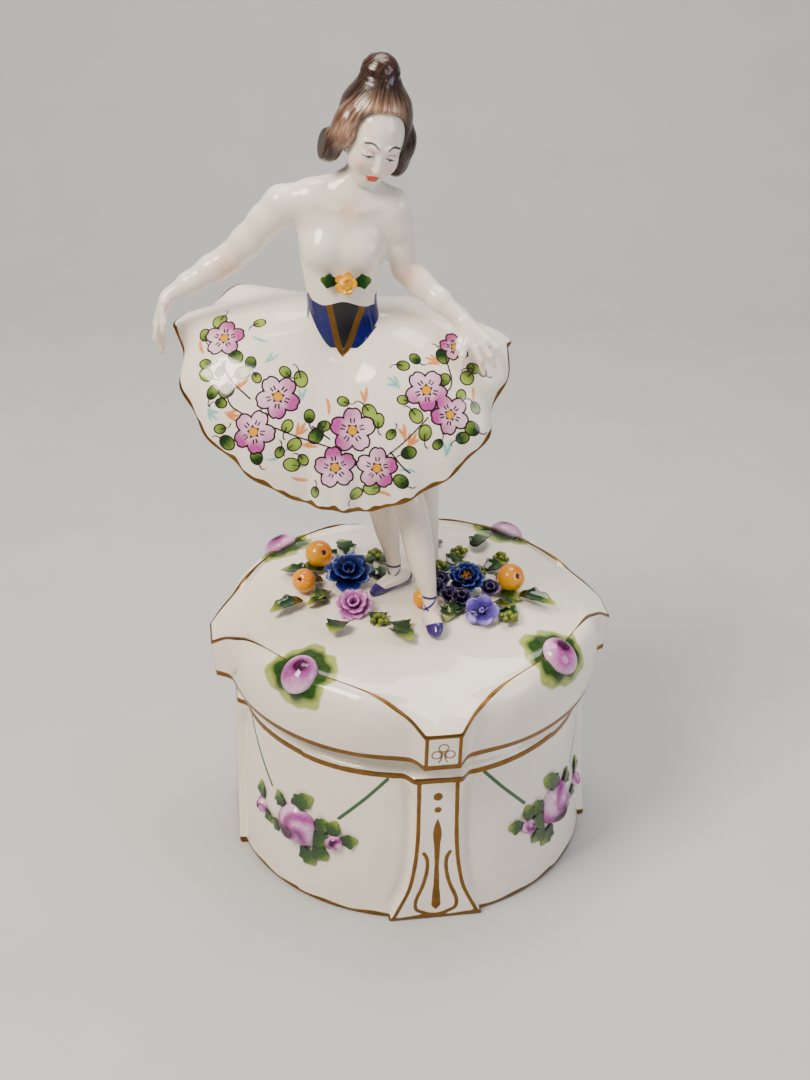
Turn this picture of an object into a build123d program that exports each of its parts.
from build123d import *
import math
import os

# Porcelain jewellery box with a ballerina on its lift-off lid.
# Millimetres and degrees. Origin: centre of the flat underside. +Z up, front pilaster at -Y.
# The figure and what lies round its feet are placed in a frame that is turned about Z by
# figure_turn; there the dancer faces -Y and +X is the dancer's own left.

# ---------------------------------------------------------------- driving dimensions
# Box
rim_height = 53.0            # bench to the seat between box and lid
rim_radius = 47.6            # round wall just under the cove
foot_spread = 3.0            # how much wider the wall stands at the bench
wall = 3.0                   # cast wall of the box
floor_thickness = 4.2
cove_depth = 2.0             # hollow moulding under the seat
cove_height = 6.5
foot_round = 0.8

# Pilasters on the four sides of the box
pilaster_foot_width = 25.4
pilaster_top_width = 11.8
pilaster_foot_relief = 0.3   # flat face beyond the foot of the round wall
pilaster_top_relief = 1.9    # flat face beyond the wall under the cove
pilaster_count = 4

# Lid
lid_overhang = 3.7           # lid's round edge beyond the wall under the cove
lid_wall = 3.5
lobe_bulge = 1.7             # how far a lobe swells past the rim
lobe_height = 18.0           # seat to the top of a lobe
lid_height = 21.0            # seat to the level top
plateau_width = 18.3         # lid's round edge in to the level top
plaque_relief = 4.7          # plaque face beyond the lid's round edge
plaque_width = 9.6
plaque_height = 11.0
star_waist_setback = 5.8     # lid's round edge in to the star's narrowest place

# Locating ring luted under the lid
ring_clearance = 0.5         # all round, inside the box
ring_thickness = 2.8
ring_depth = 5.0
ring_web = 3.0

# Applied flowers on the walls
garland_height = 25.0        # bench to the middle of a garland rose
garland_rose_radius = 6.4
garland_rose_relief = 2.4
garland_bud_radius = 2.6
garland_bud_relief = 1.8
garland_leaf_relief = 1.0
garland_leaf_length = 6.4
garland_leaf_width = 4.4
near_bud_distance = 10.3     # round the wall from the rose to the bud beside the front or back pilaster
near_bud_drop = 1.2          # rose's middle down to that bud's
far_bud_distance = 15.6      # round the wall from the rose to the bud on its other side
far_bud_drop = 3.8
lid_rose_radius = 5.6
lid_rose_relief = 3.2
lid_rose_setback = 3.7       # lid's round edge in to the middle of a lid rose
lid_rose_slope = 38.0        # how far a lid rose leans out from level

# Mound, post and figure
figure_turn = -9.0
mound_margin = 2.0           # level top left bare round the mound
mound_thickness = 1.3
post_radius = 3.2
post_x = 4.0
post_y = 12.0
skirt_wall = 2.0
skirt_axis_x = -18.6
skirt_front_reach = 26.0     # skirt's axis to its hem
skirt_side_reach = 42.5
skirt_back_reach = 25.0
skirt_drop = 35.6            # how far the hem hangs lower in front than at the sides
skirt_tilt = 2.6             # how far the hem is higher on the dancer's right
skirt_back_lift = 2.5
hem_side_fall = 8.5          # waist down to the hem at the sides
waist_half_width = 9.0
waist_half_depth = 6.6
waist_rise = 21.5            # hips up to the waist
waist_dip = 8.5              # how far the skirt's top edge drops at the front
hip_rise = 58.7              # mound up to the underside of the hips, where the legs are joined on
head_radius = 8.6
topknot_radius = 4.6
berry_radius = 1.25
relief_bite = 0.6            # depth of the bed that an applied piece is pressed into

# ---------------------------------------------------------------- levels worked out from them
foot_radius = rim_radius + foot_spread
pilaster_foot_reach = foot_radius + pilaster_foot_relief
pilaster_top_reach = rim_radius + pilaster_top_relief
cavity_radius = rim_radius - cove_depth - wall
lid_rim_radius = rim_radius + lid_overhang
plateau_radius = lid_rim_radius - plateau_width
plaque_reach = lid_rim_radius + plaque_relief
star_waist_radius = lid_rim_radius - star_waist_setback
lid_rose_reach = lid_rim_radius - lid_rose_setback
ring_outer_radius = cavity_radius - ring_clearance
ring_inner_radius = ring_outer_radius - ring_thickness
lid_inner_radius = lid_rim_radius - lid_wall
lid_top = rim_height + lid_height
mound_radius = plateau_radius - mound_margin
mound_top = lid_top + mound_thickness
hip_height = mound_top + hip_rise
waist_height = hip_height + waist_rise
lobe_top = rim_height + lobe_height
plaque_top = rim_height + plaque_height
side_angles = [index * 360.0 / pilaster_count for index in range(pilaster_count)]
corner_names = ["front_right", "back_right", "back_left", "front_left"]


# ---------------------------------------------------------------- shared geometry
def point(radius, height):
    """A point of an outline that is turned about Z."""
    return (radius, 0, height)


def turned(*edges):
    """Solid turned about Z from a closed outline in the XZ plane."""
    return revolve(make_face(list(edges)), Axis.Z)


def pressed(radius, relief):
    """Cabochon: a spherical cap over XY, with a plug below to be cut back by its seat."""
    cap_radius = (radius ** 2 + relief ** 2) / (2 * relief)
    half_turn = math.asin(radius / cap_radius) / 2
    shoulder = (cap_radius * math.sin(half_turn), 0, relief - cap_radius * (1 - math.cos(half_turn)))
    plug = -radius * 0.6
    return turned(Line((0, 0, plug), (radius, 0, plug)), Line((radius, 0, plug), (radius, 0, 0)),
                  ThreePointArc((radius, 0, 0), shoulder, (0, 0, relief)), Line((0, 0, relief), (0, 0, plug)))


def leaf_outline(length, width):
    """Pointed leaf along +X, from its stalk at the origin."""
    upper = ThreePointArc((0, 0), (length * 0.45, width / 2), (length, 0))
    lower = ThreePointArc((length, 0), (length * 0.45, -width / 2), (0, 0))
    return make_face([upper.edge(), lower.edge()])


def around(angle):
    """Turn about Z, where 0 is the front (-Y) and +90 is the right (+X)."""
    return Rot(0, 0, angle)


def wall_radius_at(height):
    """Radius of the box's round wall at a height, on its straight taper."""
    share = height / (rim_height - cove_height)
    return foot_radius + (rim_radius - foot_radius) * share


def on_wall(angle, height):
    """Location on the box wall whose own Z points straight out."""
    return around(angle) * Pos(0, -wall_radius_at(height), height) * Rot(90, 0, 0)


def on_lid(angle):
    """Location in the middle of a lid lobe whose own Z leans out with the slope."""
    return around(angle) * Pos(0, -lid_rose_reach, lobe_top) * Rot(lid_rose_slope, 0, 0)


def seated(piece, *neighbours):
    """The piece cut back so that it meets its neighbours face to face."""
    for neighbour in neighbours:
        piece = piece - neighbour
    solids = sorted(piece.solids(), key=lambda solid: solid.volume)
    return solids[-1]


def limb(stations, across):
    """Loft through ovals: each station is (x, y, z, half_width, half_depth)."""
    centres = [Vector(*station[:3]) for station in stations]
    sections = []
    for index, station in enumerate(stations):
        before = centres[max(index - 1, 0)]
        after = centres[min(index + 1, len(centres) - 1)]
        plane = Plane(origin=centres[index], x_dir=across, z_dir=after - before)
        sections.append(plane * Ellipse(station[3], station[4]))
    return loft(sections)


# ---------------------------------------------------------------- box body
def box_round():
    """Round cast wall: foot, slight taper, convex shoulder and cove under the seat."""
    cove_bottom = rim_height - cove_height
    foot = Line(point(0, 0), point(foot_radius - foot_round, 0))
    foot_edge = Line(foot @ 1, point(foot_radius, foot_round))
    side = Line(foot_edge @ 1, point(rim_radius, cove_bottom))
    cove_middle = point(rim_radius - cove_depth, rim_height - cove_height * 0.4)
    cove = ThreePointArc(side @ 1, cove_middle, point(rim_radius - cove_depth * 0.2, rim_height))
    return turned(foot, foot_edge, side, cove, Line(cove @ 1, point(0, rim_height)),
                  Line(point(0, rim_height), point(0, 0)))


def pilaster():
    """Flat-faced pilaster on the front, flared towards the bench."""
    foot = pilaster_foot_width / 2
    top = pilaster_top_width / 2
    waist = rim_height * 0.55
    flare = Spline((foot, 0, 0), (top + (foot - top) * 0.28, 0, waist * 0.5), (top, 0, waist))
    other = Spline((-top, 0, waist), (-top - (foot - top) * 0.28, 0, waist * 0.5), (-foot, 0, 0))
    face = make_face([Line((-foot, 0, 0), (foot, 0, 0)), flare,
                      Line((top, 0, waist), (top, 0, rim_height)),
                      Line((top, 0, rim_height), (-top, 0, rim_height)),
                      Line((-top, 0, rim_height), (-top, 0, waist)), other])
    slab = extrude(face, pilaster_foot_reach * 2, dir=(0, -1, 0))
    back = cavity_radius
    side_view = make_face(Polyline((0, -back, 0), (0, -pilaster_foot_reach, 0),
                                   (0, -pilaster_top_reach, rim_height),
                                   (0, -back, rim_height), close=True).edges())
    return slab & extrude(side_view, foot, dir=(1, 0, 0), both=True)


def box_cavity():
    """Room inside the box, from its floor up through the seat."""
    depth = rim_height - floor_thickness
    return Pos(0, 0, floor_thickness + depth) * Cylinder(cavity_radius, 2 * depth)


def make_box_body():
    body = box_round()
    for angle in side_angles:
        body = body + around(angle) * pilaster()
    return seated(body, box_cavity())


# ---------------------------------------------------------------- garlands on the box
def garland_bed(relief):
    """Skin of that relief over the round wall."""
    outer = turned(Line(point(0, 0), point(foot_radius + relief, 0)),
                   Line(point(foot_radius + relief, 0), point(rim_radius + relief, rim_height)),
                   Line(point(rim_radius + relief, rim_height), point(0, rim_height)),
                   Line(point(0, rim_height), point(0, 0)))
    return outer


def garland_rose(angle, body):
    return seated(on_wall(angle, garland_height) * pressed(garland_rose_radius, garland_rose_relief), body)


def bud_places(angle, side):
    """Angle and height of the two buds, which hang on either side of the rose."""
    places = []
    for distance, drop in ((side * near_bud_distance, near_bud_drop), (-side * far_bud_distance, far_bud_drop)):
        height = garland_height - drop
        places.append((angle + math.degrees(distance / wall_radius_at(height)), height))
    return places


def garland_buds(angle, side, body, rose):
    """The two buds of one garland."""
    blank = pressed(garland_bud_radius, garland_bud_relief)
    return [seated(on_wall(*place) * blank, body, rose) for place in bud_places(angle, side)]


def garland_leaves(angle, side, body, rose, buds):
    """Pressed leaves: four fan out from under the rose, and one stands over each bud."""
    skin = garland_bed(garland_leaf_relief)
    stalk = garland_rose_radius * 0.7
    middle = on_wall(angle, garland_height)
    places = [middle * Rot(0, 0, turn) * Pos(stalk, 0, 0) for turn in (62, 118, 242, 298)]
    places += [on_wall(*place) * Rot(0, 0, 90) for place in bud_places(angle, side)]
    leaves = []
    for place in places:
        blank = place * extrude(leaf_outline(garland_leaf_length, garland_leaf_width), wall, both=True)
        leaves.append(seated(blank & skin, body, rose, *buds))
    return leaves


# ---------------------------------------------------------------- lid
def star_outline():
    """Four-pointed plan of the raised star, each point ending in a flat plaque."""
    half = plaque_width / 2
    edges = []
    for angle in side_angles:
        turn = around(angle)
        waist = star_waist_radius * math.sqrt(0.5)
        tip = Line((-half, -plaque_reach), (half, -plaque_reach))
        arc = ThreePointArc((half, -plaque_reach), (waist, -waist), (plaque_reach, -half))
        edges.append(turn * tip)
        edges.append(turn * arc)
    return make_face([edge for item in edges for edge in item.edges()])


def star_plan():
    """Upright prism over the star's plan."""
    return Pos(0, 0, rim_height) * extrude(star_outline(), lid_height)


def lid_star():
    """Raised star: vertical plaques and a hollow slope up to the level top."""
    beyond = plaque_reach + 1
    run = plaque_reach - plateau_radius
    rise = lid_top - plaque_top
    slope = Spline(point(beyond, plaque_top), point(plaque_reach - run * 0.45, plaque_top + rise * 0.56),
                   point(plateau_radius, lid_top))
    star = turned(Line(point(0, rim_height), point(beyond, rim_height)),
                  Line(point(beyond, rim_height), point(beyond, plaque_top)),
                  slope, Line(point(plateau_radius, lid_top), point(0, lid_top)),
                  Line(point(0, lid_top), point(0, rim_height)))
    return star & star_plan()


def lid_lobes():
    """Round pillows that fill the lid between the star's points."""
    inside = star_waist_radius - 2.5
    bulge = ThreePointArc(point(lid_rim_radius, rim_height),
                          point(lid_rim_radius + lobe_bulge, rim_height + lobe_height * 0.36),
                          point(lid_rim_radius + lobe_bulge * 0.1, rim_height + lobe_height * 0.72))
    crown = point(star_waist_radius + 3.6, lobe_top - 0.8)
    shoulder = ThreePointArc(bulge @ 1, crown, point(inside, lobe_top))
    pillow = turned(Line(point(inside, rim_height), point(lid_rim_radius, rim_height)), bulge, shoulder,
                    Line(point(inside, lobe_top), point(inside, rim_height)))
    return pillow - star_plan()


def lid_hollow():
    """Room inside the lid, an even wall below the outside."""
    side = Line(point(lid_inner_radius, rim_height), point(lid_inner_radius, rim_height + lobe_height * 0.5))
    haunch = ThreePointArc(side @ 1, point(lid_inner_radius - 5, lobe_top - lid_wall - 1.2),
                           point(plateau_radius, lid_top - lid_wall))
    return turned(Line(point(0, rim_height), side @ 0), side, haunch,
                  Line(haunch @ 1, point(0, lid_top - lid_wall)),
                  Line(point(0, lid_top - lid_wall), point(0, rim_height)))


def make_lid_shell():
    return seated(lid_star() + lid_lobes(), lid_hollow())


def make_locating_ring():
    """L-section ring: its web closes the lid's rim, its lip drops inside the box."""
    lip_bottom = rim_height - ring_depth
    web_top = rim_height + ring_web
    outline = Polyline(point(ring_inner_radius, lip_bottom), point(ring_outer_radius, lip_bottom),
                       point(ring_outer_radius, rim_height), point(lid_inner_radius, rim_height),
                       point(lid_inner_radius, web_top), point(ring_inner_radius, web_top), close=True)
    return turned(*outline.edges())


def make_lid_rose(angle, shell):
    return seated(on_lid(angle) * pressed(lid_rose_radius, lid_rose_relief), shell)


# ---------------------------------------------------------------- mound, post and figure
def make_mound(shell):
    """Clay pad on the lid's level top, with a feathered edge."""
    pad = Pos(0, 0, lid_top + mound_thickness / 2) * Cylinder(mound_radius, mound_thickness)
    rim = pad.edges().group_by(Axis.Z)[-1]
    return seated(chamfer(rim, mound_thickness * 0.7, mound_thickness * 0.9), shell)


def make_torso():
    """Bust, waist and hips down to the top of the legs."""
    x = skirt_axis_x
    return limb([(x + 3, -1, hip_height, 8.4, 6.2), (x + 1.4, 0, (hip_height + waist_height) / 2, 10.5, 7.6),
                 (x, 0, waist_height, waist_half_width, waist_half_depth),
                 (x - 0.4, -0.6, waist_height + 10, 9.9, 7.6), (x + 0.2, -0.8, waist_height + 19, 11.2, 7.8),
                 (x - 0.4, 0, waist_height + 26, 15.0, 5.6), (x + 1.6, 0.4, waist_height + 31, 8.0, 4.4)],
                (1, 0, 0))


def make_leg(stations, *neighbours):
    return seated(limb(stations, (1, 0, 0)), *neighbours)


def leg_level(share):
    """Height at that share of the way from the mound up to the hips."""
    return mound_top + (hip_height - mound_top) * share


def right_leg_stations():
    """Hip, knee, calf, ankle and instep of the standing leg at the back."""
    return [(-17.5, 0, hip_height + 2, 5.0, 5.0), (-12.5, -3, leg_level(0.76), 4.4, 4.4),
            (-8.6, -4, leg_level(0.47), 3.6, 3.6), (-6.3, -2, leg_level(0.28), 3.1, 3.2),
            (-5.0, 0.5, leg_level(0.115), 2.2, 2.4), (-5.6, -0.6, leg_level(0.046), 2.3, 3.2)]


def left_leg_stations():
    """Hip, knee, calf, ankle and instep of the leg that steps forward."""
    return [(-12.0, -2, hip_height + 2, 5.0, 5.0), (-5.6, -9.5, leg_level(0.76), 4.6, 4.6),
            (-0.3, -14, leg_level(0.54), 4.3, 4.3), (1.6, -16, leg_level(0.353), 4.0, 4.1),
            (3.6, -17.6, leg_level(0.216), 3.0, 3.1), (4.9, -18.6, leg_level(0.106), 2.0, 2.2),
            (5.2, -19.6, leg_level(0.046), 2.1, 3.0)]


def foot(heel, toe, *neighbours):
    """Slippered foot from heel to toe, flattened on the mound."""
    heel_point = Vector(heel[0], heel[1], mound_top + 1.4)
    toe_point = Vector(toe[0], toe[1], mound_top + 1.0)
    along = (toe_point - heel_point).normalized()
    stations = []
    for share, width, depth in ((0, 1.6, 1.5), (0.35, 2.2, 2.4), (0.7, 2.3, 1.8), (1.0, 1.3, 1.0)):
        middle = heel_point + along * (toe_point - heel_point).length * share
        stations.append((middle.X, middle.Y, middle.Z, width, depth))
    return seated(limb(stations, (-along.Y, along.X, 0)), *neighbours)


def make_post(*neighbours):
    """Plain round prop from the mound up to the underside of the skirt, behind the legs."""
    height = waist_height - mound_top
    return seated(Pos(post_x, post_y, mound_top + height / 2) * Cylinder(post_radius, height), *neighbours)


def hem_radius(angle):
    """Skirt's axis to its hem: widest at the sides, where the hands hold it."""
    side = abs(math.sin(math.radians(angle))) ** 2.3
    front = skirt_front_reach if abs(angle) <= 90 else skirt_back_reach
    return front + (skirt_side_reach - front) * side


def hem_height(angle):
    """Bench to the hem: low in front of the legs, lifted at the sides and behind."""
    lifted = min(1.0, abs(angle) / 90.0) ** 2.2
    turn = math.radians(angle)
    level = waist_height - hem_side_fall - skirt_drop * (1 - lifted)
    return level - skirt_tilt * math.sin(turn) + skirt_back_lift * max(0.0, -math.cos(turn))


def waist_ring(angle):
    """Radius and height of the skirt's top edge, which dips to a point at the front."""
    turn = math.radians(angle)
    half_width = waist_half_width - relief_bite
    half_depth = waist_half_depth - relief_bite
    radius = 1 / math.hypot(math.sin(turn) / half_width, math.cos(turn) / half_depth)
    return radius, waist_height - waist_dip * ((1 + math.cos(turn)) / 2) ** 3


def skirt_section(angle):
    """Upright slice of the skirt's wall: two curves that bell out from waist to hem."""
    start_radius, start_height = waist_ring(angle)
    end_radius = hem_radius(angle)
    end_height = hem_height(angle)
    spread = end_radius - start_radius
    drop = start_height - end_height
    outer = [Vector(start_radius, start_height),
             Vector(start_radius + spread * 0.5, start_height - drop * 0.12),
             Vector(start_radius + spread * 0.95, start_height - drop * 0.52),
             Vector(end_radius, end_height)]
    leave = (outer[1] - outer[0]).normalized()
    arrive = (outer[3] - outer[2]).normalized()
    leave_inward = Vector(leave.Y, -leave.X) * skirt_wall
    arrive_inward = Vector(arrive.Y, -arrive.X) * skirt_wall
    middle_inward = (leave_inward + arrive_inward) / 2
    inward = [leave_inward, middle_inward, middle_inward, arrive_inward]
    inner = [step + shift for step, shift in zip(outer, inward)]
    edges = [Bezier(*[on_slice(angle, step) for step in outer]),
             Line(on_slice(angle, outer[3]), on_slice(angle, inner[3])),
             Bezier(*[on_slice(angle, step) for step in reversed(inner)]),
             Line(on_slice(angle, inner[0]), on_slice(angle, outer[0]))]
    return make_face(edges)


def on_slice(angle, step):
    """Point in space of (radius, height) on the upright plane at that angle round the skirt."""
    turn = math.radians(angle)
    return (skirt_axis_x + step.X * math.sin(turn), -step.X * math.cos(turn), step.Y)


def make_skirt(*neighbours):
    """Bell-shaped skirt, lofted in quarters that meet at the front, the hands and the back."""
    quarters = []
    for start, end in ((0, 90), (90, 180), (180, 270), (270, 360)):
        angles = [start + (end - start) * step / 4 for step in range(5)]
        signed = [angle if angle <= 180 else angle - 360 for angle in angles]
        if start == 180:
            signed[0] = -180
        quarters.append(loft([skirt_section(angle) for angle in signed]))
    skirt = quarters[0]
    for quarter in quarters[1:]:
        skirt = skirt + quarter
    return seated(skirt, *neighbours)


def make_right_arm(*neighbours):
    """Arm held out to the side, with the hand hanging over the skirt's edge."""
    top = waist_height
    edge = skirt_axis_x - skirt_side_reach
    arm = limb([(-31.5, 0, top + 27, 4.6, 4.4), (-36.5, 0, top + 22.7, 4.2, 4.0),
                (edge + 14.5, 0.4, top + 12.3, 3.5, 3.5), (edge + 7.1, -1.5, top + 8.5, 3.0, 2.9),
                (edge + 0.1, -3.5, top + 4.1, 2.0, 2.0)], (0, 1, 0))
    hand = limb([(edge + 0.7, -3.4, top + 4.9, 1.7, 1.9), (edge - 2.3, -4.0, top, 2.2, 1.7),
                 (edge - 3.1, -4.2, top - 5.0, 2.0, 1.4), (edge - 2.5, -4.2, top - 9.3, 1.0, 0.9)], (0, 1, 0))
    return seated(arm + hand, *neighbours)


def make_left_arm(*neighbours):
    """Arm bent down, with the hand laid on the skirt."""
    top = waist_height
    edge = skirt_axis_x + skirt_side_reach
    arm = limb([(-6.4, 0.4, top + 26.5, 4.4, 4.2), (-4.4, 1.0, top + 21, 4.2, 4.0),
                (-3.4, 3.0, top + 10.1, 3.4, 3.4), (edge - 20.3, 0.5, top + 4.9, 3.0, 3.0),
                (edge - 12.3, -5.0, top - 1.1, 2.0, 2.0)], (0, 1, 0))
    hand = limb([(edge - 12.9, -4.6, top - 0.5, 1.9, 1.8), (edge - 9.3, -7.8, top - 4.1, 2.6, 1.7),
                 (edge - 6.3, -10.4, top - 8.1, 2.6, 1.4), (edge - 4.9, -11.6, top - 11.5, 1.6, 0.9)],
                (0, 1, 0))
    return seated(arm + hand, *neighbours)


def make_head(torso):
    """Neck, face and hair in one pressed piece, tipped towards the dancer's left."""
    neck = limb([(-16.6, 0.6, waist_height + 29, 4.2, 3.8), (-14.6, 0, waist_height + 33, 3.4, 3.4),
                 (-12.4, -0.8, waist_height + 38, 3.2, 3.4)], (1, 0, 0))
    face = Pos(-10.8, -2.4, waist_height + 41) * Sphere(head_radius - 1.2)
    skull = Pos(-11.4, 0.4, waist_height + 45) * Sphere(head_radius)
    head = neck + face + skull
    for side in (-1, 1):
        head = head + Pos(-12.2 + side * 6.6, 0.8, waist_height + 43.0) * Sphere(head_radius * 0.62)
    return seated(head, torso)


def make_topknot(head):
    return seated(Pos(-9.8, 2.6, waist_height + 56.5) * Sphere(topknot_radius), head)


def make_bodice_rose(torso):
    place = Pos(-17.0, -waist_half_depth - 1.8, waist_height + 9) * Rot(80, 0, 0)
    return seated(place * pressed(2.5, 2.0), torso)


def make_bodice_leaves(torso, rose):
    """One leaf on each side of the rose, pressed on the front of the bodice."""
    leaves = []
    for side in (-1, 1):
        place = Pos(-17.0 + side * 2.2, -waist_half_depth - 1.8, waist_height + 9.2) * Rot(90, 0, -side * 24)
        blank = place * Rot(0, 0, 90 - side * 90) * extrude(leaf_outline(4.4, 3.0), 1.6, both=True)
        leaves.append(seated(blank, torso, rose))
    return leaves


# ---------------------------------------------------------------- flowers and fruit round the feet
def flower_head(petals, petal_length, petal_width, height):
    """Open flower standing on XY: a ring of round petals leaning out of a cone."""
    cup = Pos(0, 0, height / 2) * Cone(petal_length * 0.35, petal_length * 0.7, height)
    flower = cup
    for index in range(petals):
        petal = Pos(petal_length * 0.62, 0, height - 0.9) * Rot(0, -14, 0) * Cylinder(petal_width / 2, 1.2)
        flower = flower + Rot(0, 0, index * 360.0 / petals) * petal
    return flower


def on_mound(x_share, y_share, height):
    """Location over the mound, its sideways place given as shares of the mound's radius."""
    return Pos(x_share * mound_radius, y_share * mound_radius, mound_top + height)


def flower_at(x_share, y_share, lean, turn, flower, *neighbours):
    place = on_mound(x_share, y_share, -relief_bite) * Rot(0, 0, turn) * Rot(lean, 0, 0)
    return seated(place * flower, *neighbours)


def peach_at(x_share, y_share, radius, *neighbours):
    return seated(on_mound(x_share, y_share, radius - relief_bite) * Sphere(radius), *neighbours)


def leaf_at(x_share, y_share, turn, length, width, *neighbours):
    """Leaf laid outwards, thick enough to reach what is below it past the mound's edge."""
    below = mound_thickness + 0.9
    blank = extrude(leaf_outline(length, width), below + 1.2)
    return seated(on_mound(x_share, y_share, -below) * Rot(0, 0, turn) * blank, *neighbours)


def berries_at(x_share, y_share, *neighbours):
    """A small cluster of round buds, the fourth on top of the other three."""
    cluster = on_mound(x_share, y_share, berry_radius * 1.9) * Sphere(berry_radius)
    for index in range(3):
        apart = Rot(0, 0, 120 * index + 30) * Pos(berry_radius * 1.05, 0, 0)
        place = on_mound(x_share, y_share, berry_radius - relief_bite) * apart
        cluster = cluster + place * Sphere(berry_radius)
    return seated(cluster, *neighbours)


# ---------------------------------------------------------------- put together and written out
def save(name, *solids):
    """One STEP file per node, holding its solid or its separate solids."""
    shape = solids[0] if len(solids) == 1 else Compound(children=list(solids))
    export_step(shape, os.path.join("parts", name + ".step"))


def save_figure(name, *solids):
    """As save, from the figure's frame."""
    save(name, *[Rot(0, 0, figure_turn) * solid for solid in solids])


def build_box():
    body = make_box_body()
    save("box_body", body)
    for index, corner in enumerate(corner_names):
        angle = side_angles[index] + 180.0 / pilaster_count
        side = -1 if index % 2 == 0 else 1
        rose = garland_rose(angle, body)
        buds = garland_buds(angle, side, body, rose)
        save("garland_rose_" + corner, rose)
        save("garland_buds_" + corner, *buds)
        save("garland_leaves_" + corner, *garland_leaves(angle, side, body, rose, buds))


def build_lid():
    shell = make_lid_shell()
    save("lid_shell", shell)
    save("lid_locating_ring", seated(make_locating_ring(), shell))
    for index, corner in enumerate(corner_names):
        save("lid_rose_" + corner, make_lid_rose(side_angles[index] + 180.0 / pilaster_count, shell))
    return shell


def build_figure(mound):
    torso = make_torso()
    right_leg = make_leg(right_leg_stations(), torso)
    left_leg = make_leg(left_leg_stations(), torso, right_leg)
    right_slipper = foot((-1.6, 2.4), (-10.6, -6.2), mound, right_leg)
    left_slipper = foot((4.9, -18.0), (6.8, -26.8), mound, left_leg)
    skirt = make_skirt(torso, right_leg, left_leg)
    post = make_post(mound, torso, skirt, left_leg)
    right_arm = make_right_arm(torso, skirt)
    left_arm = make_left_arm(torso, skirt)
    head = make_head(torso)
    rose = make_bodice_rose(torso)
    save_figure("torso", torso)
    save_figure("support_post", post)
    save_figure("right_leg", right_leg)
    save_figure("left_leg", left_leg)
    save_figure("right_slipper", right_slipper)
    save_figure("left_slipper", left_slipper)
    save_figure("skirt", skirt)
    save_figure("right_arm", right_arm)
    save_figure("left_arm", left_arm)
    save_figure("head", head)
    save_figure("topknot", make_topknot(head))
    save_figure("bodice_rose", rose)
    save_figure("bodice_leaves", *make_bodice_leaves(torso, rose))
    return [post, right_leg, left_leg, right_slipper, left_slipper]


def build_bed(shell, mound, stems):
    """Flowers, fruit, leaves and berries pressed into the mound round the feet, in the order laid."""
    laid = [Rot(0, 0, -figure_turn) * shell, mound] + stems

    def lay(name, pieces):
        save_figure(name, *pieces)
        laid.extend(pieces)

    blue_right = flower_head(8, 5.6, 4.6, 5.0)
    blue_left = flower_head(8, 5.0, 3.8, 6.0)
    lay("blue_flower_right_side", [flower_at(-0.565, 0.06, 12, 0, blue_right, *laid)])
    lay("blue_flower_left_side", [flower_at(0.477, -0.02, 12, 0, blue_left, *laid)])
    lay("pink_flower", [flower_at(-0.497, -0.44, 14, 0, flower_head(7, 4.2, 3.4, 3.8), *laid)])
    lay("violet_flower", [flower_at(0.603, -0.503, 14, 0, flower_head(5, 3.9, 4.0, 3.4), *laid)])
    lay("dark_blossoms", [flower_at(x, y, 6, turn, flower_head(5, 2.6, 2.6, 3.0), *laid)
                          for x, y, turn in ((0.25, 0.02, 10), (0.335, -0.24, 40), (0.69, -0.11, 20))])
    peaches = ((-0.848, 0.342, 3.4), (-0.968, -0.11, 2.9), (0.884, -0.032, 3.3), (0.103, -0.361, 2.6))
    lay("peaches", [peach_at(x, y, radius, *laid) for x, y, radius in peaches])
    berries = ((-0.271, -0.652), (0.839, -0.581), (0.813, 0.465), (0.439, 0.568), (-0.342, 0.49))
    lay("berries", [berries_at(x, y, *laid) for x, y in berries])
    front = ((-0.955, -0.303, 215, 7.6, 3.6), (-0.594, -0.658, 250, 5.2, 4.6),
             (-0.161, -0.742, -50, 6.6, 4.6), (-0.723, -0.303, 200, 5.0, 3.0),
             (0.445, -0.348, 240, 5.4, 3.6), (0.968, -0.148, -25, 8.0, 3.8), (0.729, -0.284, -40, 5.6, 4.0))
    lay("front_leaves", [leaf_at(*leaf, *laid) for leaf in front])
    back = ((-0.935, 0.161, 160, 6.4, 4.0), (-0.581, 0.497, 110, 6.4, 4.2), (0.568, 0.723, 60, 6.4, 4.2),
            (0.658, 0.265, 30, 5.8, 3.8), (-0.174, 0.316, 120, 5.4, 4.0), (0.181, 0.697, 80, 5.4, 4.0))
    lay("back_leaves", [leaf_at(*leaf, *laid) for leaf in back])


def main():
    os.makedirs("parts", exist_ok=True)
    build_box()
    shell = build_lid()
    figure_shell = Rot(0, 0, -figure_turn) * shell
    mound = make_mound(figure_shell)
    save_figure("figure_mound", mound)
    stems = build_figure(mound)
    build_bed(shell, mound, stems)


main()
